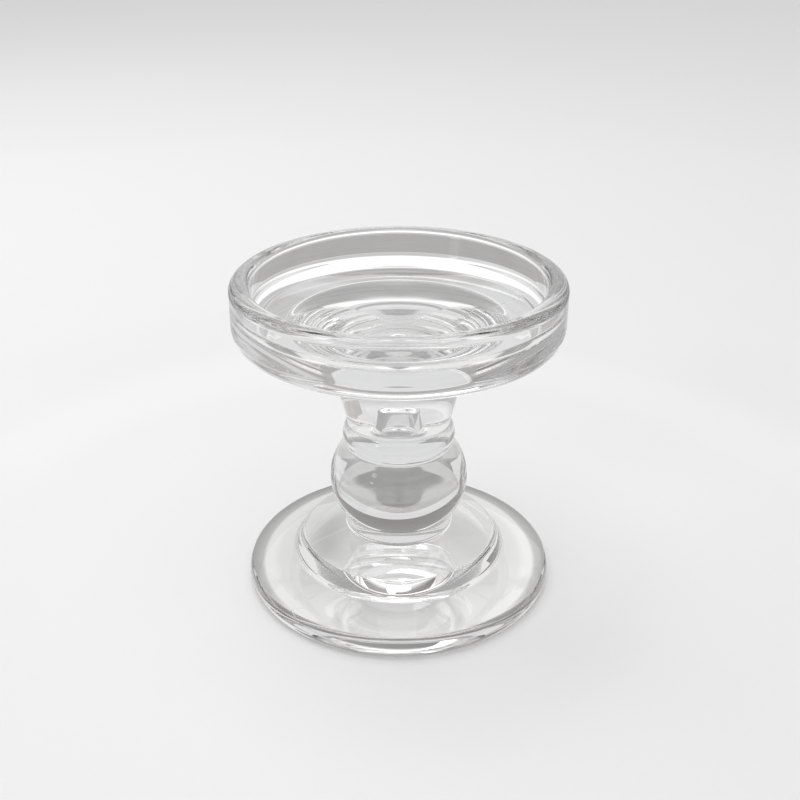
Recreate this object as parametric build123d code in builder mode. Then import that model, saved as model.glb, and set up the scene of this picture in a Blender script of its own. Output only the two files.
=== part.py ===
# Pressed glass pillar candle holder: a dish on a flared neck, a bead, a ball and a stepped round foot.
# The foot stands on the XY plane and every section is turned about Z. All sizes are millimetres.
import os

from build123d import *

os.makedirs("parts", exist_ok=True)

# Whole holder, from the table to the top of the rim; the neck takes up the difference
holder_height = 102.5

# Foot flange: the wide disc that stands on the table
flange_rise = 9.7
flange_crown = 0.5
foot_radius = 49.2
foot_widest_height = 2.9
foot_shoulder_radius = 48.05
foot_shoulder_height = 6.0
foot_base_radius = 48.2

# Foot dome: the raised step on the flange
dome_height = 9.1
dome_radius = 33.6
dome_bulge_radius = 32.7
dome_bulge_height = 2.55
dome_edge_radius = 30.6
dome_edge_drop = 3.8

# Knop base: the short taper between the dome and the ball
knop_base_height = 5.2
knop_base_radius = 16.8

# Ball knop
ball_height = 23.7
ball_radius = 21.9
ball_belly_height = 10.9
ball_lower_radius = 18.1
ball_upper_radius = 16.8

# Collar ring: the bead between the ball and the neck
collar_height = 7.1
collar_radius = 17.65
collar_widest_height = 3.5

# Neck: a taper above the waist that opens into a wide flare under the dish
waist_radius = 16.0
neck_lead_radius = 19.0
neck_lead_height = 11.2
neck_follow_radius = 21.0
neck_follow_drop = 4.4
neck_top_radius = 32.5

# Blind hollow inside the neck, open at the waist and closed by the collar ring
hollow_depth = 10.8
hollow_mouth_radius = 5.0
hollow_top_radius = 3.8
hollow_top_rounding = 3.0

# Candle dish: flat floor, upright wall and a rounded rim
dish_height = 19.1
dish_radius = 50.0
dish_floor_thickness = 7.6
dish_floor_rounding = 4.5
dish_wall_draft = 0.3
dish_underside_rounding = 6.2
rim_width = 6.0
rim_outer_rounding = 3.0
rim_inner_rounding = 2.6

# Heights of the joins, from the table upwards
dome_base_z = flange_rise
knop_base_z = dome_base_z + dome_height
ball_z = knop_base_z + knop_base_height
collar_z = ball_z + ball_height
waist_z = collar_z + collar_height
rim_z = holder_height
dish_z = rim_z - dish_height
dish_floor_z = dish_z + dish_floor_thickness

# Foot flange: crowned top, rounded edge, flat base
flange_mid_radius = (dome_radius + foot_shoulder_radius) / 2
flange_mid_z = (flange_rise + foot_shoulder_height) / 2 + flange_crown
with BuildPart() as foot_flange:
    with BuildSketch(Plane.XZ):
        with BuildLine():
            Polyline((foot_base_radius, 0), (0, 0), (0, flange_rise), (dome_radius, flange_rise))
            ThreePointArc(
                (dome_radius, flange_rise),
                (flange_mid_radius, flange_mid_z),
                (foot_shoulder_radius, foot_shoulder_height),
            )
            TangentArc(
                (foot_radius, foot_widest_height),
                (foot_shoulder_radius, foot_shoulder_height),
                tangent=(0, 1),
            )
            TangentArc((foot_radius, foot_widest_height), (foot_base_radius, 0), tangent=(0, -1))
        make_face()
    revolve(axis=Axis.Z)

# Foot dome: a sloping top above a slightly bowed, steep side
dome_foot = (dome_radius, dome_base_z)
dome_edge = (dome_edge_radius, knop_base_z - dome_edge_drop)
with BuildPart() as foot_dome:
    with BuildSketch(Plane.XZ):
        with BuildLine():
            ThreePointArc(dome_foot, (dome_bulge_radius, dome_base_z + dome_bulge_height), dome_edge)
            Polyline(
                dome_edge,
                (knop_base_radius, knop_base_z),
                (0, knop_base_z),
                (0, dome_base_z),
                dome_foot,
            )
        make_face()
    revolve(axis=Axis.Z)

# Knop base: a plain taper
with BuildPart() as knop_base:
    with BuildSketch(Plane.XZ):
        with BuildLine():
            Polyline(
                (0, knop_base_z),
                (knop_base_radius, knop_base_z),
                (ball_lower_radius, ball_z),
                (0, ball_z),
                close=True,
            )
        make_face()
    revolve(axis=Axis.Z)

# Ball knop: two arcs that meet upright at the belly
belly = (ball_radius, ball_z + ball_belly_height)
with BuildPart() as ball_knop:
    with BuildSketch(Plane.XZ):
        with BuildLine():
            TangentArc(belly, (ball_lower_radius, ball_z), tangent=(0, -1))
            TangentArc(belly, (ball_upper_radius, collar_z), tangent=(0, 1))
            Polyline((ball_lower_radius, ball_z), (0, ball_z), (0, collar_z), (ball_upper_radius, collar_z))
        make_face()
    revolve(axis=Axis.Z)

# Collar ring: one round bead
with BuildPart() as collar_ring:
    with BuildSketch(Plane.XZ):
        with BuildLine():
            ThreePointArc(
                (ball_upper_radius, collar_z),
                (collar_radius, collar_z + collar_widest_height),
                (waist_radius, waist_z),
            )
            Polyline((waist_radius, waist_z), (0, waist_z), (0, collar_z), (ball_upper_radius, collar_z))
        make_face()
    revolve(axis=Axis.Z)

# Neck: the flared tube, less its tapered blind hollow
hollow_top_z = waist_z + hollow_depth
with BuildPart() as neck:
    with BuildSketch(Plane.XZ):
        with BuildLine():
            Bezier(
                (waist_radius, waist_z),
                (neck_lead_radius, waist_z + neck_lead_height),
                (neck_follow_radius, dish_z - neck_follow_drop),
                (neck_top_radius, dish_z),
            )
            Polyline((neck_top_radius, dish_z), (0, dish_z), (0, waist_z), (waist_radius, waist_z))
        make_face()
    revolve(axis=Axis.Z)
    with BuildSketch(Plane.XZ):
        with BuildLine():
            FilletPolyline(
                (hollow_mouth_radius, waist_z),
                (hollow_top_radius, hollow_top_z),
                (0, hollow_top_z),
                radius=hollow_top_rounding,
            )
            Polyline((0, hollow_top_z), (0, waist_z), (hollow_mouth_radius, waist_z))
        make_face()
    revolve(axis=Axis.Z, mode=Mode.SUBTRACT)

# Candle dish: the wall stands between the rounded underside and the rounded rim
rim_inner_radius = dish_radius - rim_width
floor_corner_radius = rim_inner_radius - dish_wall_draft
with BuildPart() as candle_dish:
    with BuildSketch(Plane.XZ):
        with BuildLine():
            FilletPolyline(
                (0, dish_z),
                (dish_radius, dish_z),
                (dish_radius, rim_z),
                (rim_inner_radius, rim_z),
                (floor_corner_radius, dish_floor_z),
                (0, dish_floor_z),
                radius=(
                    dish_underside_rounding,
                    rim_outer_rounding,
                    rim_inner_rounding,
                    dish_floor_rounding,
                ),
            )
            Line((0, dish_floor_z), (0, dish_z))
        make_face()
    revolve(axis=Axis.Z)

# Each section of glass is written as its own node
foot_flange.part.label = "foot_flange"
export_step(foot_flange.part, "parts/foot_flange.step")
foot_dome.part.label = "foot_dome"
export_step(foot_dome.part, "parts/foot_dome.step")
knop_base.part.label = "knop_base"
export_step(knop_base.part, "parts/knop_base.step")
ball_knop.part.label = "ball_knop"
export_step(ball_knop.part, "parts/ball_knop.step")
collar_ring.part.label = "collar_ring"
export_step(collar_ring.part, "parts/collar_ring.step")
neck.part.label = "neck"
export_step(neck.part, "parts/neck.step")
candle_dish.part.label = "candle_dish"
export_step(candle_dish.part, "parts/candle_dish.step")
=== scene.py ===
import math

import bpy
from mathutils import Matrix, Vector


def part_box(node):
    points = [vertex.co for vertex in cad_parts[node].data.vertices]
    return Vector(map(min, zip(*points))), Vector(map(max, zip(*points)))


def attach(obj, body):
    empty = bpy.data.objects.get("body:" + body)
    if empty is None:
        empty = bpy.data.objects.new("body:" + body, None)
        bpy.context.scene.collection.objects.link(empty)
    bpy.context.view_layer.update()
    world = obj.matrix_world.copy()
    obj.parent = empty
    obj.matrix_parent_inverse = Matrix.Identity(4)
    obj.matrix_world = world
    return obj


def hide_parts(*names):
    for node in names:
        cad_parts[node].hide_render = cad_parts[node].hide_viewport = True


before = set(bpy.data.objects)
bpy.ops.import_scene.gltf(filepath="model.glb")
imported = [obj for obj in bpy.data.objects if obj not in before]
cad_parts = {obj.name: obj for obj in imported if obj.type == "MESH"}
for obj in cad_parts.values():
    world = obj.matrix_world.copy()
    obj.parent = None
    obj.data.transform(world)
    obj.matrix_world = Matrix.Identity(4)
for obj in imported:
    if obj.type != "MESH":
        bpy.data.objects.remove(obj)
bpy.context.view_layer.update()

scene = bpy.context.scene
mm = 0.001
print("frame loaded,", len(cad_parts), "sections of glass")


# Outline helpers: every point is (radius, height) in millimetres
def arcThrough(start, middle, end, steps):
    (ax, ay), (bx, by), (cx, cy) = start, middle, end
    aa, bb, cc = ax * ax + ay * ay, bx * bx + by * by, cx * cx + cy * cy
    d = 2 * (ax * (by - cy) + bx * (cy - ay) + cx * (ay - by))
    ux = (aa * (by - cy) + bb * (cy - ay) + cc * (ay - by)) / d
    uy = (aa * (cx - bx) + bb * (ax - cx) + cc * (bx - ax)) / d
    radius = math.hypot(ax - ux, ay - uy)
    a0 = math.atan2(ay - uy, ax - ux)
    sweep = (math.atan2(cy - uy, cx - ux) - a0 + math.pi) % (2 * math.pi) - math.pi
    return [
        (ux + radius * math.cos(a0 + sweep * k / steps), uy + radius * math.sin(a0 + sweep * k / steps))
        for k in range(steps + 1)
    ]


def arcFromBelly(belly, end, steps):
    # leaves the belly upright and ends at the given point
    rise = end[1] - belly[1]
    centre = (belly[0] ** 2 - end[0] ** 2 - rise ** 2) / (2 * (belly[0] - end[0]))
    radius = belly[0] - centre
    turn = math.atan2(rise, end[0] - centre)
    return [
        (centre + radius * math.cos(turn * k / steps), belly[1] + radius * math.sin(turn * k / steps))
        for k in range(steps + 1)
    ]


def flowing(start, lead, follow, end, steps):
    # a free curve that leaves towards the lead point and arrives from the follow point
    path = []
    for k in range(steps + 1):
        t = k / steps
        u = 1 - t
        path.append(tuple(
            u ** 3 * a + 3 * u * u * t * b + 3 * u * t * t * c + t ** 3 * d
            for a, b, c, d in zip(start, lead, follow, end)
        ))
    return path


def roundedPath(corners, steps=14):
    # corners are (radius, height, rounding)
    path = []
    for i, (r, z, rounding) in enumerate(corners):
        if i in (0, len(corners) - 1) or rounding <= 0:
            path.append((r, z))
            continue
        ax, az = corners[i - 1][0] - r, corners[i - 1][1] - z
        bx, bz = corners[i + 1][0] - r, corners[i + 1][1] - z
        la, lb = math.hypot(ax, az), math.hypot(bx, bz)
        ax, az, bx, bz = ax / la, az / la, bx / lb, bz / lb
        half = math.acos(max(-1.0, min(1.0, ax * bx + az * bz))) / 2
        reach = rounding / math.tan(half)
        mx, mz = ax + bx, az + bz
        lm = math.hypot(mx, mz)
        cx, cz = r + mx / lm * rounding / math.sin(half), z + mz / lm * rounding / math.sin(half)
        a0 = math.atan2(z + az * reach - cz, r + ax * reach - cx)
        a1 = math.atan2(z + bz * reach - cz, r + bx * reach - cx)
        sweep = (a1 - a0 + math.pi) % (2 * math.pi) - math.pi
        for k in range(steps + 1):
            turn = a0 + sweep * k / steps
            path.append((cx + rounding * math.cos(turn), cz + rounding * math.sin(turn)))
    return path


def trimmed(path, reach, atEnd):
    # cuts a length off one end of a path and gives the rest with the direction it had there
    line = list(reversed(path)) if atEnd else list(path)
    left = reach
    while len(line) > 2:
        step = math.dist(line[0], line[1])
        if step > left:
            break
        left -= step
        line.pop(0)
    t = left / math.dist(line[0], line[1])
    line[0] = tuple(a + (b - a) * t for a, b in zip(line[0], line[1]))
    span = math.dist(line[0], line[1])
    heading = tuple((a - b) / span for a, b in zip(line[0], line[1]))  # towards the cut end
    return (list(reversed(line)) if atEnd else line), heading


bendPull = 0.62  # share of the reach by which a soft bend leans towards the crease


def joinSoft(first, second, reach, steps=12):
    # joins two paths that share an end by a soft bend instead of a crease
    first, out = trimmed(first, reach, True)
    second, back = trimmed(second, reach, False)
    p0, p3 = first[-1], second[0]
    p1 = tuple(a + d * reach * bendPull for a, d in zip(p0, out))
    p2 = tuple(a + d * reach * bendPull for a, d in zip(p3, back))
    return first + flowing(p0, p1, p2, p3, steps)[1:-1] + second


flatRuns = {"tooShort": 1e-5, "longFrom": 1.2, "near": 0.12, "far": 0.4}


def heldFlats(path):
    # extra points beside the ends of long runs keep flats flat under smooth shading
    held = [path[0]]
    for a, b in zip(path, path[1:]):
        span = math.dist(a, b)
        if span < flatRuns["tooShort"]:
            continue
        if span > flatRuns["longFrom"]:
            near, far = flatRuns["near"] / span, flatRuns["far"] / span
            for t in (near, far, 1 - far, 1 - near):
                held.append((a[0] + (b[0] - a[0]) * t, a[1] + (b[1] - a[1]) * t))
        held.append(b)
    return held


def cutAt(path, height):
    # splits a rising path where it first reaches a height
    for i, (a, b) in enumerate(zip(path, path[1:])):
        if a[1] < height <= b[1]:
            t = (height - a[1]) / (b[1] - a[1])
            point = (a[0] + (b[0] - a[0]) * t, height)
            tail = path[i + 1:]
            if math.dist(tail[0], point) < 1e-4:
                tail = tail[1:]
            return path[:i + 1] + [point], [point] + tail
    raise ValueError("the outline doesn't reach %.2f mm" % height)


def nodeTop(node):
    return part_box(node)[1][2] / mm


# Foot: a crowned disc with a round edge, and a step with a soft shoulder
footFlange = {
    "baseRadius": 48.2, "baseRounding": 0.7, "widest": (49.2, 2.9), "shoulder": (48.05, 6.0),
    "shoulderReach": 1.1, "crown": 0.5,
}
footDome = {
    "radius": 33.6, "bulge": (32.7, 12.25), "edge": (30.6, 15.0), "edgeReach": 0.25, "creaseReach": 1.4,
}
flangeTop = nodeTop("foot_flange")
domeTop = nodeTop("foot_dome")
flangeMiddle = (
    (footDome["radius"] + footFlange["shoulder"][0]) / 2,
    (flangeTop + footFlange["shoulder"][1]) / 2 + footFlange["crown"],
)
baseEdge = joinSoft(
    [(0.0, 0.0), (footFlange["baseRadius"], 0.0)],
    list(reversed(arcFromBelly(footFlange["widest"], (footFlange["baseRadius"], 0.0), steps=10))),
    footFlange["baseRounding"], steps=6,
)
footEdge = baseEdge + arcFromBelly(footFlange["widest"], footFlange["shoulder"], steps=12)[1:]
flangeFace = arcThrough(footFlange["shoulder"], flangeMiddle, (footDome["radius"], flangeTop), steps=24)
outline = joinSoft(footEdge, flangeFace, footFlange["shoulderReach"])

# Stem: the taper, the ball, the bead and the trumpet neck
knopBase = {"radius": 16.8, "creaseReach": 0.8}
ballKnop = {"belly": (21.9, 34.9), "lowerRadius": 18.1, "upperRadius": 16.8, "creaseReach": 0.7}
collarRing = {"widest": (17.65, 51.2), "creaseReach": 0.6}
neckTube = {
    "waistRadius": 16.0, "lead": (19.0, 66.0), "follow": (21.0, 79.0), "topRadius": 32.5, "creaseReach": 0.7,
    "topReach": 1.4,
    "hollowMouth": 5.0, "hollowTop": 3.8, "hollowDepth": 10.8, "hollowRounding": 3.0,
}
knopTop = nodeTop("knop_base")
ballTop = nodeTop("ball_knop")
waist = nodeTop("collar_ring")
underside = nodeTop("neck")

domeSide = arcThrough((footDome["radius"], flangeTop), footDome["bulge"], footDome["edge"], steps=24)
domeSlope = [footDome["edge"], (knopBase["radius"], domeTop)]
domeSide = joinSoft(domeSide, domeSlope, footDome["edgeReach"], steps=6)
outline = joinSoft(outline, domeSide, footDome["creaseReach"])
outline = joinSoft(
    outline, [(knopBase["radius"], domeTop), (ballKnop["lowerRadius"], knopTop)], knopBase["creaseReach"],
)
ballSide = list(reversed(arcFromBelly(ballKnop["belly"], (ballKnop["lowerRadius"], knopTop), steps=22)))
ballSide += arcFromBelly(ballKnop["belly"], (ballKnop["upperRadius"], ballTop), steps=26)[1:]
outline = joinSoft(outline, ballSide, ballKnop["creaseReach"])
beadSide = arcThrough(
    (ballKnop["upperRadius"], ballTop), collarRing["widest"], (neckTube["waistRadius"], waist), steps=20,
)
outline = joinSoft(outline, beadSide, collarRing["creaseReach"])
neckSide = flowing(
    (neckTube["waistRadius"], waist), neckTube["lead"],
    neckTube["follow"], (neckTube["topRadius"], underside), steps=44,
)
outline = joinSoft(outline, neckSide, neckTube["creaseReach"])

# Dish: rounded underside, upright wall, full rim, inner wall and flat floor
candleDish = {
    "radius": 50.0, "undersideRounding": 6.2, "rimWidth": 6.0, "rimOuter": 3.0, "rimInner": 2.6,
    "draft": 0.3, "floorRounding": 4.5, "floorThickness": 7.6,
}
rimTop = nodeTop("candle_dish")
innerRadius = candleDish["radius"] - candleDish["rimWidth"]
dishFloor = underside + candleDish["floorThickness"]
dishSide = roundedPath([
    (neckTube["topRadius"], underside, 0),
    (candleDish["radius"], underside, candleDish["undersideRounding"]),
    (candleDish["radius"], rimTop, candleDish["rimOuter"]),
    (innerRadius, rimTop, candleDish["rimInner"]),
    (innerRadius - candleDish["draft"], dishFloor, candleDish["floorRounding"]),
    (0.0, dishFloor, 0),
], steps=36)
outline = joinSoft(outline, dishSide, neckTube["topReach"], steps=18)
print("outline drawn,", len(outline), "points")

# The outline is parted at the joins of the solids
flangeSide, outline = cutAt(outline, flangeTop)
domeSide, outline = cutAt(outline, domeTop)
knopSide, outline = cutAt(outline, knopTop)
ballSide, outline = cutAt(outline, ballTop)
beadSide, outline = cutAt(outline, waist)
neckSide, dishSide = cutAt(outline, underside - 1e-4)  # just under, where the outline still rises
neckSide[-1] = dishSide[0] = (neckSide[-1][0], underside)
neckHollow = roundedPath([
    (0.0, waist + neckTube["hollowDepth"], 0),
    (neckTube["hollowTop"], waist + neckTube["hollowDepth"], neckTube["hollowRounding"]),
    (neckTube["hollowMouth"], waist, 0),
], steps=10)
mouth = (neckTube["hollowMouth"], waist)
profiles = {
    "foot_flange": flangeSide + [(0.0, flangeTop)],
    "foot_dome": [(0.0, flangeTop)] + domeSide + [(0.0, domeTop)],
    "knop_base": [(0.0, domeTop)] + knopSide + [(0.0, knopTop)],
    "ball_knop": [(0.0, knopTop)] + ballSide + [(0.0, ballTop)],
    "collar_ring": [(0.0, ballTop)] + beadSide + [mouth, (0.0, waist)],
    "neck": neckHollow + neckSide + [(0.0, underside)],
    "candle_dish": [(0.0, underside)] + dishSide,
}


# Glass: clear, with the slow waver of pressed glass and faint streaks
def addNode(tree, kind, place, **settings):
    node = tree.nodes.new(kind)
    node.location = place
    for name, value in settings.items():
        setattr(node, name, value)
    return node


def mathNode(tree, operation, place, first, second):
    node = addNode(tree, "ShaderNodeMath", place, operation=operation)
    for socket, value in zip(node.inputs, (first, second)):
        if hasattr(value, "links"):
            tree.links.new(value, socket)
        else:
            socket.default_value = value
    return node.outputs[0]


def nearTo(tree, place, value, middle, full, gone):
    # one up to the full distance from the middle, nought beyond the far one
    offset = mathNode(tree, "SUBTRACT", place, value, middle)
    away = mathNode(tree, "ABSOLUTE", (place[0] + 200, place[1]), offset, 0.0)
    near = addNode(tree, "ShaderNodeMapRange", (place[0] + 400, place[1]), interpolation_type="SMOOTHSTEP")
    near.inputs["From Min"].default_value = gone
    near.inputs["From Max"].default_value = full
    tree.links.new(away, near.inputs["Value"])
    return near.outputs["Result"]


markFade = {"ends": 2.0, "band": 0.3}  # millimetres over which a mark dies out


def markLine(tree, coords, place, mark):
    # height of one straight mark, from point to point on the surface seen from above
    (ax, ay), (bx, by) = mark["from"], mark["to"]
    span = math.hypot(bx - ax, by - ay)
    heading = ((bx - ax) / span, (by - ay) / span, 0)
    across = (-heading[1], heading[0], 0)
    halfway = (ax + bx) / 2 * heading[0] + (ay + by) / 2 * heading[1]
    shape = None
    for k, (axis, middle, full, gone) in enumerate((
        (heading, halfway, span / 2 - markFade["ends"], span / 2),
        (across, ax * across[0] + ay * across[1], 0.0, mark["width"]),
        ((0, 0, 1), mark["level"], mark["band"], mark["band"] + markFade["band"]),
    )):
        spot = (place[0], place[1] - 180 * k)
        along = addNode(tree, "ShaderNodeVectorMath", spot, operation="DOT_PRODUCT")
        along.inputs[1].default_value = axis
        tree.links.new(coords.outputs["Object"], along.inputs[0])
        beside = (spot[0] + 200, spot[1])
        part = nearTo(tree, beside, along.outputs["Value"], middle * mm, full * mm, gone * mm)
        shape = part if shape is None else mathNode(tree, "MULTIPLY", (spot[0] + 800, spot[1]), shape, part)
    return mathNode(tree, "MULTIPLY", (place[0] + 1000, place[1]), shape, mark["depth"] * mm)


def glassMaterial(name, look, marks=()):
    glass = bpy.data.materials.new(name)
    glass.use_nodes = True
    tree = glass.node_tree
    shader = tree.nodes["Principled BSDF"]
    shader.inputs["Transmission Weight"].default_value = 1.0
    shader.inputs["IOR"].default_value = look["ior"]
    coords = addNode(tree, "ShaderNodeTexCoord", (-1300, 0))

    # body colour: almost none, a breath of grey in places
    cloud = addNode(tree, "ShaderNodeTexNoise", (-900, 420))
    cloud.inputs["Scale"].default_value = look["cloudScale"]
    cloud.inputs["Detail"].default_value = 2.0
    tree.links.new(coords.outputs["Object"], cloud.inputs["Vector"])
    tint = addNode(tree, "ShaderNodeValToRGB", (-640, 420))
    tint.color_ramp.elements[0].position = look["cloudSpan"][0]
    tint.color_ramp.elements[0].color = (*look["tintLow"], 1)
    tint.color_ramp.elements[1].position = look["cloudSpan"][1]
    tint.color_ramp.elements[1].color = (*look["tintHigh"], 1)
    tree.links.new(cloud.outputs["Fac"], tint.inputs["Fac"])
    tree.links.new(tint.outputs["Color"], shader.inputs["Base Color"])

    # roughness: polished, with soft smears
    smear = addNode(tree, "ShaderNodeTexNoise", (-900, 140))
    smear.inputs["Scale"].default_value = look["smearScale"]
    smear.inputs["Detail"].default_value = 3.0
    tree.links.new(coords.outputs["Object"], smear.inputs["Vector"])
    polish = addNode(tree, "ShaderNodeMapRange", (-640, 140))
    polish.inputs["From Min"].default_value = look["smearSpan"][0]
    polish.inputs["From Max"].default_value = look["smearSpan"][1]
    polish.inputs["To Min"].default_value = look["roughLow"]
    polish.inputs["To Max"].default_value = look["roughHigh"]
    tree.links.new(smear.outputs["Fac"], polish.inputs["Value"])
    tree.links.new(polish.outputs["Result"], shader.inputs["Roughness"])

    # surface: slow waver plus fine level streaks, heights in metres
    waver = addNode(tree, "ShaderNodeTexNoise", (-900, -160))
    waver.inputs["Scale"].default_value = look["waverScale"]
    waver.inputs["Detail"].default_value = 1.0
    tree.links.new(coords.outputs["Object"], waver.inputs["Vector"])
    stretch = addNode(tree, "ShaderNodeMapping", (-1100, -420))
    stretch.inputs["Scale"].default_value = look["streakStretch"]
    tree.links.new(coords.outputs["Object"], stretch.inputs["Vector"])
    streak = addNode(tree, "ShaderNodeTexNoise", (-900, -420))
    streak.inputs["Scale"].default_value = 1.0
    streak.inputs["Detail"].default_value = 2.0
    tree.links.new(stretch.outputs["Vector"], streak.inputs["Vector"])
    slow = mathNode(tree, "MULTIPLY", (-640, -160), waver.outputs["Fac"], look["waverDepth"])
    fine = mathNode(tree, "MULTIPLY", (-640, -420), streak.outputs["Fac"], look["streakDepth"])
    height = mathNode(tree, "ADD", (-440, -260), slow, fine)
    for k, mark in enumerate(marks):
        line = markLine(tree, coords, (-1800, -700 - 600 * k), mark)
        height = mathNode(tree, "ADD", (-440, -700 - 600 * k), height, line)
    bump = addNode(tree, "ShaderNodeBump", (-240, -260))
    bump.inputs["Strength"].default_value = 1.0
    bump.inputs["Distance"].default_value = 1.0
    tree.links.new(height, bump.inputs["Height"])
    tree.links.new(bump.outputs["Normal"], shader.inputs["Normal"])
    return glass


clearBody = {
    "ior": 1.52,
    "tintLow": (0.950, 0.953, 0.955), "tintHigh": (0.974, 0.977, 0.978),
    "cloudScale": 38.0, "cloudSpan": (0.3, 0.7),
    "roughLow": 0.0, "roughHigh": 0.006, "smearScale": 110.0, "smearSpan": (0.45, 0.75),
    "waverScale": 70.0, "waverDepth": 2.0e-5,
    "streakStretch": (30.0, 30.0, 1500.0), "streakDepth": 3.0e-7,
}
# the mould's seam on the dome and a faint one on the flange, then the cut the shears left in the dish floor
footMarks = (
    {"from": (-15.9, -6.1), "to": (-29.6, -11.4), "width": 0.3, "level": 17.0, "band": 2.6, "depth": 0.03},
    {"from": (-25.4, -20.0), "to": (-38.5, -22.5), "width": 0.3, "level": 8.6, "band": 1.4, "depth": 0.02},
)
dishMarks = (
    {"from": (20.5, -5.0), "to": (42.0, 15.5), "width": 0.3, "level": 91.0, "band": 0.6, "depth": -0.03},
    {"from": (16.0, -13.5), "to": (24.3, 5.7), "width": 0.35, "level": 91.0, "band": 0.6, "depth": -0.03},
)
footGlass = glassMaterial("footGlass", clearBody, footMarks)
stemGlass = glassMaterial("stemGlass", clearBody)
dishGlass = glassMaterial("dishGlass", clearBody, dishMarks)

# Where two sections were pressed as one body nothing shows, so light runs straight through
fusedJoin = bpy.data.materials.new("fusedJoin")
fusedJoin.use_nodes = True
fusedJoin.node_tree.nodes.clear()
joinOut = fusedJoin.node_tree.nodes.new("ShaderNodeOutputMaterial")
joinClear = fusedJoin.node_tree.nodes.new("ShaderNodeBsdfTransparent")
fusedJoin.node_tree.links.new(joinClear.outputs["BSDF"], joinOut.inputs["Surface"])
print("glass mixed")


# Turning: a node tree sweeps a section's profile round the axis
turning = {
    "steps": 360, "spindle": 0.1, "weld": 1e-6, "sharpFrom": 34.0,
    "waver": 0.05 * mm, "waverScale": 45.0, "seed": 7, "stillWithin": 0.5 * mm, "waverFrom": 4 * mm,
    "joinGap": 1e-3, "joinFlat": 0.99,
}


def turningTree():
    tree = bpy.data.node_groups.new("turnedSection", "GeometryNodeTree")
    for name, kind in (
        ("Profile", "NodeSocketGeometry"), ("Steps", "NodeSocketInt"), ("Spindle", "NodeSocketFloat"),
        ("Waver", "NodeSocketFloat"), ("Waver Scale", "NodeSocketFloat"), ("Seed", "NodeSocketFloat"),
        ("Glass", "NodeSocketMaterial"),
    ):
        tree.interface.new_socket(name, in_out="INPUT", socket_type=kind)
    tree.interface.new_socket("Section", in_out="OUTPUT", socket_type="NodeSocketGeometry")
    given = addNode(tree, "NodeGroupInput", (-1200, 0))
    made = addNode(tree, "NodeGroupOutput", (1200, 0))
    line = addNode(tree, "GeometryNodeMeshToCurve", (-900, 100))
    ring = addNode(tree, "GeometryNodeCurvePrimitiveCircle", (-900, -100), mode="RADIUS")
    upright = addNode(tree, "GeometryNodeSetCurveNormal", (-700, -100), mode="Z_UP")
    sweep = addNode(tree, "GeometryNodeCurveToMesh", (-500, 0))
    weld = addNode(tree, "GeometryNodeMergeByDistance", (-300, 0))
    weld.inputs["Distance"].default_value = turning["weld"]
    place = addNode(tree, "GeometryNodeInputPosition", (-900, -400))
    noise = addNode(tree, "ShaderNodeTexNoise", (-700, -400), noise_dimensions="4D")
    noise.inputs["Detail"].default_value = 0.0
    inward = addNode(tree, "ShaderNodeMath", (-500, -400), operation="SUBTRACT")
    inward.inputs[1].default_value = 1.0
    amount = addNode(tree, "ShaderNodeMath", (-300, -400), operation="MULTIPLY")
    reach = addNode(tree, "ShaderNodeVectorMath", (-300, -800), operation="LENGTH")
    # no waver close to the axis, so the poles stay closed
    still = addNode(tree, "ShaderNodeMapRange", (-100, -800))
    still.inputs["From Min"].default_value = turning["stillWithin"]
    still.inputs["From Max"].default_value = turning["waverFrom"]
    steady = addNode(tree, "ShaderNodeMath", (-100, -300), operation="MULTIPLY")
    level = addNode(tree, "ShaderNodeVectorMath", (-500, -600), operation="MULTIPLY")
    level.inputs[1].default_value = (1, 1, 0)
    outward = addNode(tree, "ShaderNodeVectorMath", (-300, -600), operation="NORMALIZE")
    push = addNode(tree, "ShaderNodeVectorMath", (-100, -500), operation="SCALE")
    move = addNode(tree, "GeometryNodeSetPosition", (100, 0))
    close = addNode(tree, "GeometryNodeMergeByDistance", (200, 0))
    close.inputs["Distance"].default_value = turning["weld"]
    smooth = addNode(tree, "GeometryNodeSetShadeSmooth", (300, 0))
    realize = addNode(tree, "GeometryNodeRealizeInstances", (600, 0))
    coat = addNode(tree, "GeometryNodeSetMaterial", (900, 0))
    link = tree.links.new
    link(given.outputs["Profile"], line.inputs["Mesh"])
    link(given.outputs["Steps"], ring.inputs["Resolution"])
    link(given.outputs["Spindle"], ring.inputs["Radius"])
    link(ring.outputs["Curve"], upright.inputs["Curve"])
    link(upright.outputs["Curve"], sweep.inputs["Curve"])
    link(line.outputs["Curve"], sweep.inputs["Profile Curve"])
    link(sweep.outputs["Mesh"], weld.inputs["Geometry"])
    link(place.outputs["Position"], noise.inputs["Vector"])
    link(given.outputs["Seed"], noise.inputs["W"])
    link(given.outputs["Waver Scale"], noise.inputs["Scale"])
    link(noise.outputs["Fac"], inward.inputs[0])
    link(inward.outputs[0], amount.inputs[0])
    link(given.outputs["Waver"], amount.inputs[1])
    link(place.outputs["Position"], level.inputs[0])
    link(level.outputs["Vector"], outward.inputs[0])
    link(outward.outputs["Vector"], push.inputs[0])
    link(level.outputs["Vector"], reach.inputs[0])
    link(reach.outputs["Value"], still.inputs["Value"])
    link(amount.outputs[0], steady.inputs[0])
    link(still.outputs["Result"], steady.inputs[1])
    link(steady.outputs[0], push.inputs["Scale"])
    link(weld.outputs["Geometry"], move.inputs["Geometry"])
    link(push.outputs["Vector"], move.inputs["Offset"])
    link(move.outputs["Geometry"], close.inputs["Geometry"])
    link(close.outputs["Geometry"], smooth.inputs["Geometry"])
    link(smooth.outputs["Geometry"], realize.inputs["Geometry"])
    link(realize.outputs["Geometry"], coat.inputs["Geometry"])
    link(given.outputs["Glass"], coat.inputs["Material"])
    link(coat.outputs["Geometry"], made.inputs["Section"])
    return tree


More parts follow.
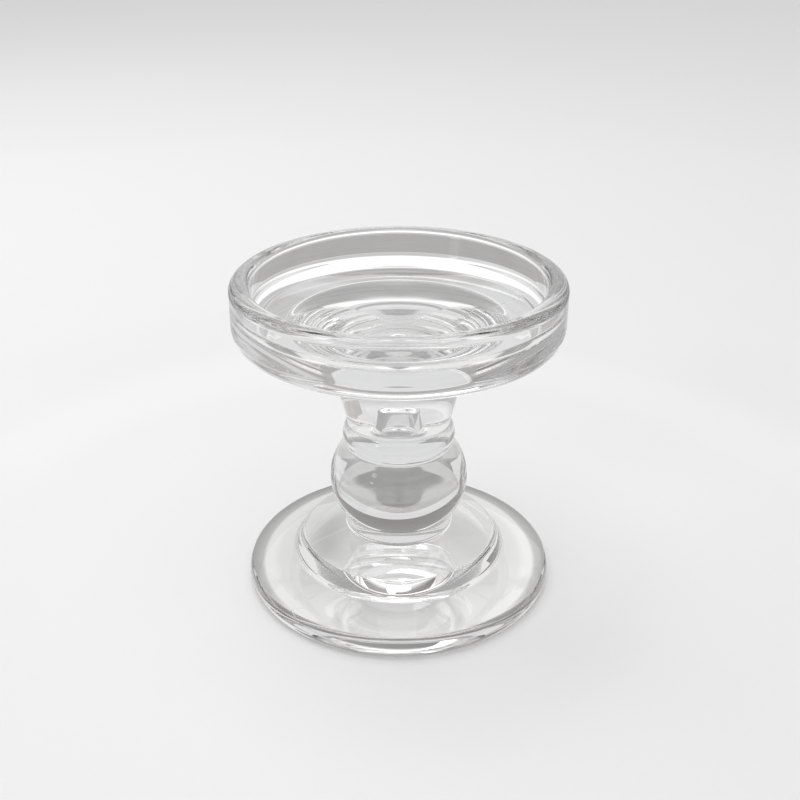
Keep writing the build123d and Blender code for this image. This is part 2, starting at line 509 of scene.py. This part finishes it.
turnTree = turningTree()
turnInputs = {
    item.name: item.identifier for item in turnTree.interface.items_tree
    if item.item_type == "SOCKET" and item.in_out == "INPUT"
}


def turnSection(name, path, glass, joins):
    # joins are (height, inner radius, outer radius) of the faces shared with a neighbour
    points = heldFlats(path)
    spindle = turning["spindle"]
    line = bpy.data.meshes.new(name)
    edges = [(i, i + 1) for i in range(len(points) - 1)]
    line.from_pydata([(r * mm - spindle, -z * mm, 0.0) for r, z in points], edges, [])
    piece = bpy.data.objects.new(name, line)
    scene.collection.objects.link(piece)
    lathe = piece.modifiers.new("turnedSection", "NODES")
    lathe.node_group = turnTree
    lathe[turnInputs["Steps"]] = turning["steps"]
    lathe[turnInputs["Spindle"]] = spindle
    lathe[turnInputs["Waver"]] = turning["waver"]
    lathe[turnInputs["Waver Scale"]] = turning["waverScale"]
    lathe[turnInputs["Seed"]] = float(turning["seed"])
    lathe[turnInputs["Glass"]] = glass
    bpy.context.view_layer.update()
    body = bpy.data.meshes.new_from_object(piece.evaluated_get(bpy.context.evaluated_depsgraph_get()))
    body.name = name
    piece.modifiers.clear()
    piece.data = body
    bpy.data.meshes.remove(line)
    volume = 0.0
    for face in body.polygons:
        volume += face.area * face.normal.dot(face.center) / 3
    if volume < 0:
        body.flip_normals()
    body.set_sharp_from_angle(angle=math.radians(turning["sharpFrom"]))
    body.materials.append(fusedJoin)
    for face in body.polygons:
        reach = math.hypot(face.center.x, face.center.y) / mm
        level = abs(face.normal.z) > turning["joinFlat"]
        for height, inner, outer in joins:
            if level and abs(face.center.z / mm - height) < turning["joinGap"] and inner < reach < outer:
                face.material_index = 1
    print(name, "turned,", len(body.polygons), "faces, volume", round(abs(volume) * 1e9), "mm3")
    return piece


joinRadius = {
    "flange": domeSide[0][0], "dome": knopSide[0][0], "knop": ballSide[0][0],
    "ball": beadSide[0][0], "bead": neckSide[0][0], "neck": dishSide[0][0],
}
flangeJoin = (flangeTop, 0.0, joinRadius["flange"])
domeJoin = (domeTop, 0.0, joinRadius["dome"])
knopJoin = (knopTop, 0.0, joinRadius["knop"])
ballJoin = (ballTop, 0.0, joinRadius["ball"])
beadJoin = (waist, neckTube["hollowMouth"], joinRadius["bead"])
neckJoin = (underside, 0.0, joinRadius["neck"])
pieces = (
    ("footFlange", "foot_flange", "foot_glass", footGlass, (flangeJoin,)),
    ("footDome", "foot_dome", "foot_glass", footGlass, (flangeJoin, domeJoin)),
    ("knopBase", "knop_base", "stem_glass", stemGlass, (domeJoin, knopJoin)),
    ("ballKnop", "ball_knop", "stem_glass", stemGlass, (knopJoin, ballJoin)),
    ("collarRing", "collar_ring", "stem_glass", stemGlass, (ballJoin, beadJoin)),
    ("neckTrumpet", "neck", "stem_glass", stemGlass, (beadJoin, neckJoin)),
    ("candleDish", "candle_dish", "dish_glass", dishGlass, (neckJoin,)),
)
for name, node, slot, glass, joins in pieces:
    piece = turnSection(name, profiles[node], glass, joins)
    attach(piece, "root")
    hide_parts(node)


# Stage: a plain pale floor, and unseen cards that give the glass something to bend
paleFloor = {"colour": (0.86, 0.86, 0.865), "roughness": 0.7, "drop": 0.05 * mm, "size": 6.0}
# upright cards that stand round the holder, in metres and degrees
ringCards = {
    "fence": {
        "centre": (0.012, 0.008), "radius": 0.08, "low": 0.4 * mm, "high": 0.0295, "arc": (0, 360),
        "grey": (0.26, 0.247, 0.238),
    },
    "band": {
        "centre": (0.0, 0.0), "radius": 0.11, "low": 0.0655, "high": 0.084, "arc": (0, 360),
        "grey": (0.43, 0.415, 0.405),
    },
    "screen": {
        "centre": (0.0, 0.0), "radius": 0.30, "low": 0.026, "high": 0.062, "arc": (26, 58),
        "grey": (0.47, 0.455, 0.445),
    },
}
cardGrid = {
    "spokes": 360, "ringSteps": 120, "tableHeight": 0.4 * mm, "footHeight": -0.04 * mm, "dishHeight": 0.030,
}
# tones that glow on an unseen card over the floor round the holder, mostly darker than the floor; the first
# patch, brighter than white, is painted light:
# (inner, outer, softness) in metres, (from, to, softness) in degrees, grey, quarters
tableLight = (0.75, 0.75, 0.755)
tableTones = (
    ((0.150, 0.188, 0.010), (-70, 70, 12), (1.16, 1.16, 1.16), (0, 180)),
    ((0.190, 0.245, 0.018), (-50, 8, 9), (0.585, 0.575, 0.57), (0, 90, 180, 270)),
    ((0.256, 0.270, 0.004), (-10, 11, 3), (0.60, 0.59, 0.58), (0, 90, 180, 270)),
    ((0.2685, 0.284, 0.003), (-10, 11, 3), (0.30, 0.29, 0.283), (0, 90, 180, 270)),
)
# painted light and shade under the foot, by distance from the axis in metres: a bright caustic ring with
# painted shade beyond it
footLightAndShade = (
    (0.0, 0.68), (0.018, 0.69), (0.033, 0.72), (0.0385, 0.77), (0.0405, 0.87), (0.0428, 0.87), (0.0438, 0.56),
    (0.0465, 0.44), (0.05, 0.40),
)
footLightSlantAndWarmth = {"slant": 0.9, "warmth": (1.0, 0.995, 0.99)}  # slant is the gain in painted light per metre to the right, and warmth tints that painted light
# softer shades under the foot, laid out as the floor's tones, with a depth
footShades = (
    ((0.025, 0.032, 0.008), (150, 210, 40), 0.24),
    ((0.018, 0.026, 0.008), (250, 310, 40), 0.2),
)
# the stem's shade on the floor behind the axis: a broad part and a narrow tip
stemShade = {
    "half": 0.0072, "near": 0.0232, "far": 0.0321, "slope": 0.36, "tip": 0.0334, "tipHalf": 0.0024,
    "depth": 0.50, "sideSoft": 0.004, "edgeSoft": 0.0006,
}
# tones that glow on an unseen card under the dish, level with the ball, by distance from the axis: a painted
# highlight brighter than white at the inner edge, then darker rings that lighten further out
# only a wedge at each quarter turn has them
dishTones = (
    (0.020, 1.15), (0.0425, 1.15), (0.0455, 0.85), (0.048, 0.50), (0.054, 0.38), (0.068, 0.40), (0.080, 0.47),
    (0.092, 0.58), (0.104, 0.66), (0.118, 0.70),
)
# lobes push the painted highlight outwards towards each wedge's sides; level is the tone outside the wedges
dishWedge = {
    "full": 13.0, "gone": 18.0, "level": 0.88, "lobes": 2.2, "lobeReach": 0.010, "warmth": (1.0, 0.99, 0.985),
}


def lightCard(name, corners, faces, colours):
    # an unseen card that only the glass bends; its colours lie on its corners and glow, though it is no lamp
    card = bpy.data.materials.new(name)
    card.use_nodes = True
    tree = card.node_tree
    tree.nodes.clear()
    tones = addNode(tree, "ShaderNodeAttribute", (-200, 0), attribute_name="tones")
    glow = addNode(tree, "ShaderNodeEmission", (0, 0))
    tree.links.new(tones.outputs["Color"], glow.inputs["Color"])
    out = addNode(tree, "ShaderNodeOutputMaterial", (200, 0))
    tree.links.new(glow.outputs["Emission"], out.inputs["Surface"])
    mesh = bpy.data.meshes.new(name)
    mesh.from_pydata(corners, [], faces)
    layer = mesh.color_attributes.new("tones", "FLOAT_COLOR", "POINT")
    for item, colour in zip(layer.data, colours):
        item.color = (*colour, 1)
    mesh.materials.append(card)
    board = bpy.data.objects.new(name, mesh)
    scene.collection.objects.link(board)
    board.visible_camera = False
    board.visible_diffuse = False
    board.visible_shadow = False
    return board


half = paleFloor["size"] / 2
floorMesh = bpy.data.meshes.new("floor")
floorMesh.from_pydata(
    [(x, y, -paleFloor["drop"]) for x, y in ((-half, -half), (half, -half), (half, half), (-half, half))],
    [], [(0, 1, 2, 3)],
)
floor = bpy.data.objects.new("floor", floorMesh)
scene.collection.objects.link(floor)
paint = bpy.data.materials.new("paleFloor")
paint.use_nodes = True
painted = paint.node_tree.nodes["Principled BSDF"]
painted.inputs["Roughness"].default_value = paleFloor["roughness"]
painted.inputs["Base Color"].default_value = (*paleFloor["colour"], 1)
floorMesh.materials.append(paint)


def softBetween(value, low, high, soft):
    # one inside the limits, nought outside, with soft ends
    rise = min(max((value - low) / soft + 0.5, 0.0), 1.0)
    fall = min(max((high - value) / soft + 0.5, 0.0), 1.0)
    return (rise * rise * (3 - 2 * rise)) * (fall * fall * (3 - 2 * fall))


def tableTone(distance, bearing):
    tone = tableLight
    for (inner, outer, edge), (start, stop, blur), grey, quarters in tableTones:
        for quarter in quarters:
            middle = quarter + (start + stop) / 2
            away = (bearing - middle + 180) % 360 - 180
            wide = (stop - start) / 2
            share = softBetween(distance, inner, outer, edge) * softBetween(away, -wide, wide, blur)
            tone = tuple(a + (b - a) * share for a, b in zip(tone, grey))
    return tone


def between(stops, value):
    # the level at this distance, straight from one stop to the next
    for (a, low), (b, high) in zip(stops, stops[1:]):
        if value <= b:
            return low + (high - low) * max(value - a, 0.0) / (b - a)
    return stops[-1][1]


# the tone of the card under the foot: a painted caustic ring, more light to the right, the stem's painted
# shadow and softer painted shades
def footTone(distance, bearing):
    turn = math.radians(bearing)
    x, y = distance * math.sin(turn), distance * math.cos(turn)
    level = between(footLightAndShade, distance) * (1 + footLightSlantAndWarmth["slant"] * x)
    shade = softBetween(x, -stemShade["half"], stemShade["half"], stemShade["sideSoft"])
    narrow = softBetween(x, -stemShade["tipHalf"], stemShade["tipHalf"], stemShade["edgeSoft"])
    far = stemShade["far"] - stemShade["slope"] * max(abs(x) - stemShade["tipHalf"], 0.0)
    far += (stemShade["tip"] - far) * narrow
    shade *= softBetween(y, stemShade["near"], far, stemShade["edgeSoft"])
    level *= 1 - stemShade["depth"] * shade
    for (inner, outer, edge), (start, stop, blur), depth in footShades:
        share = softBetween(distance, inner, outer, edge) * softBetween(bearing, start, stop, blur)
        level *= 1 - depth * share
    return tuple(level * warm for warm in footLightSlantAndWarmth["warmth"])


def dishTone(distance, bearing):
    away = abs((bearing + 45) % 90 - 45)
    side = min(max((away - dishWedge["full"]) / (dishWedge["gone"] - dishWedge["full"]), 0.0), 1.0)
    lobe = dishWedge["lobes"] * min(distance * math.sin(math.radians(away)), dishWedge["lobeReach"])
    level = between(dishTones, distance - lobe) * (1 - side) + dishWedge["level"] * side
    return tuple(level * warm for warm in dishWedge["warmth"])


def evenRings(first, step, count):
    return [first + step * k for k in range(count)]


def levelCard(name, height, rings, toneAt):
    # a flat round card, its tones worked out at every corner
    spokes = cardGrid["spokes"]
    points, colours, faces = [], [], []
    for distance in rings:
        for k in range(spokes):
            bearing = 360 * k / spokes
            turn = math.radians(bearing)
            points.append((distance * math.sin(turn), distance * math.cos(turn), height))
            colours.append(toneAt(distance, bearing))
    for i in range(len(rings) - 1):
        for k in range(spokes):
            a, b = i * spokes + k, i * spokes + (k + 1) % spokes
            faces.append((a, b, b + spokes, a + spokes))
    return lightCard(name, points, faces, colours)


# close rings where a tone has a sharp edge, wide ones elsewhere
tableRings = evenRings(0.05, 0.004, 53) + evenRings(0.26, 0.001, 45) + evenRings(0.31, 0.02, 18)
levelCard("tableTones", cardGrid["tableHeight"], tableRings, tableTone)
# the card under the foot carries painted light and shade, seen only through the glass
levelCard("footTones", cardGrid["footHeight"], evenRings(0.0004, 0.0004, 121), footTone)
# the card under the dish carries a painted highlight and darker rings, seen only through the glass
levelCard("dishTones", cardGrid["dishHeight"], evenRings(0.0405, 0.001, 79), dishTone)

ringSteps = cardGrid["ringSteps"]
for ring, card in ringCards.items():
    start, stop = card["arc"]
    ringPoints, ringFaces = [], []
    for height in (card["low"], card["high"]):
        for k in range(ringSteps + 1):
            turn = math.radians(start + (stop - start) * k / ringSteps)
            ringPoints.append((
                card["centre"][0] + card["radius"] * math.sin(turn),
                card["centre"][1] + card["radius"] * math.cos(turn), height,
            ))
    for k in range(ringSteps):
        ringFaces.append((k, k + 1, ringSteps + k + 2, ringSteps + k + 1))
    lightCard(ring, ringPoints, ringFaces, [card["grey"]] * len(ringPoints))
print("cards set round the holder")

# Sky: pale below, a dusky band and bright above, darker to the left and brighter to the front
studioSky = {
    "wallLight": 0.68, "wallTop": 30.0, "wallSoft": 2.5, "dusk": (0.33, 0.315, 0.305),
    "ceilingFrom": 47.0, "ceilingSoft": 3.0, "ceilingLight": 1.2,
    "leftShade": 0.58, "leftSpan": (-0.75, 0.15), "frontLift": 1.35, "frontSpan": (-0.2, -0.8),
}
world = bpy.data.worlds.new("studioSky")
scene.world = world
world.use_nodes = True
sky = world.node_tree
backdrop = sky.nodes["Background"]
lookAt = addNode(sky, "ShaderNodeTexCoord", (-900, 0))
split = addNode(sky, "ShaderNodeSeparateXYZ", (-700, 0))
spread = addNode(sky, "ShaderNodeMapRange", (-500, 0))
spread.inputs["From Min"].default_value = -1.0
bands = addNode(sky, "ShaderNodeValToRGB", (-300, 0))
sky.links.new(lookAt.outputs["Generated"], split.inputs["Vector"])
sky.links.new(split.outputs["Z"], spread.inputs["Value"])
sky.links.new(spread.outputs["Result"], bands.inputs["Fac"])
sideways = addNode(sky, "ShaderNodeMapRange", (-500, -260), interpolation_type="SMOOTHSTEP")
sideways.inputs["From Min"].default_value = studioSky["leftSpan"][0]
sideways.inputs["From Max"].default_value = studioSky["leftSpan"][1]
sideways.inputs["To Min"].default_value = studioSky["leftShade"]
forward = addNode(sky, "ShaderNodeMapRange", (-500, -520), interpolation_type="SMOOTHSTEP")
forward.inputs["From Min"].default_value = studioSky["frontSpan"][0]
forward.inputs["From Max"].default_value = studioSky["frontSpan"][1]
forward.inputs["To Min"].default_value = 1.0
forward.inputs["To Max"].default_value = studioSky["frontLift"]
sky.links.new(split.outputs["Y"], forward.inputs["Value"])
shaded = addNode(sky, "ShaderNodeVectorMath", (-100, -100), operation="SCALE")
sky.links.new(split.outputs["X"], sideways.inputs["Value"])
sky.links.new(bands.outputs["Color"], shaded.inputs[0])
skyLevel = mathNode(sky, "MULTIPLY", (-300, -400), sideways.outputs["Result"], forward.outputs["Result"])
sky.links.new(skyLevel, shaded.inputs["Scale"])
sky.links.new(shaded.outputs["Vector"], backdrop.inputs["Color"])


def bandPlace(degrees):
    # place on the ramp of a height above the horizon
    return (math.sin(math.radians(degrees)) + 1) / 2


pale = (studioSky["wallLight"],) * 3 + (1,)
dusk = (*studioSky["dusk"], 1)
bright = (studioSky["ceilingLight"],) * 3 + (1,)
wallTop, wallSoft = studioSky["wallTop"], studioSky["wallSoft"]
ceilingFrom, ceilingSoft = studioSky["ceilingFrom"], studioSky["ceilingSoft"]
stops = bands.color_ramp.elements
stops[0].position = 0.0
stops[0].color = pale
stops[1].position = 1.0
stops[1].color = bright
for degrees, colour in (
    (wallTop - wallSoft, pale), (wallTop + wallSoft, dusk),
    (ceilingFrom - ceilingSoft, dusk), (ceilingFrom + ceilingSoft, bright),
):
    stops.new(bandPlace(degrees)).color = colour


# Lamps: a wide one above and a narrow one for the highlights
lampSet = {
    "topLamp": {"place": (-0.45, 0.35, 0.95), "aim": (0, 0, 0), "size": (0.9, 0.9), "watts": 3.9},
    "windowLamp": {"place": (-0.72, -0.69, 0.42), "aim": (0, 0, 0.05), "size": (0.13, 0.37), "watts": 0.5},
}


def softLamp(name):
    light = lampSet[name]
    lamp = bpy.data.lights.new(name, "AREA")
    lamp.shape = "RECTANGLE"
    lamp.size, lamp.size_y = light["size"]
    lamp.energy = light["watts"]
    holder = bpy.data.objects.new(name, lamp)
    scene.collection.objects.link(holder)
    holder.location = light["place"]
    away = [p - a for p, a in zip(light["place"], light["aim"])]
    flat = math.hypot(away[0], away[1])
    holder.rotation_euler = (math.atan2(flat, away[2]), 0, math.atan2(away[0], -away[1]))
    return holder


topLamp = softLamp("topLamp")
topLamp.visible_glossy = False
windowLamp = softLamp("windowLamp")
windowLamp.visible_transmission = False

# Camera: the photograph's own view, the shift given as a share of the picture's width
photoView = {"place": (0, -0.304, 0.2122), "tilt": 63.6, "sensor": 36.0, "lens": 49.1, "shift": 0.0015}
eye = bpy.data.cameras.new("photoView")
eye.sensor_width = photoView["sensor"]
eye.lens = photoView["lens"]
eye.shift_x = photoView["shift"]
eyeHolder = bpy.data.objects.new("photoView", eye)
scene.collection.objects.link(eyeHolder)
eyeHolder.location = photoView["place"]
eyeHolder.rotation_euler = (math.radians(photoView["tilt"]), 0, 0)
scene.camera = eyeHolder
scene.view_settings.view_transform = "Standard"
scene.cycles.blur_glossy = 0.0
scene.cycles.max_bounces = 24
scene.cycles.transmission_bounces = 24
scene.cycles.glossy_bounces = 12
scene.cycles.transparent_max_bounces = 24
print("stage set")
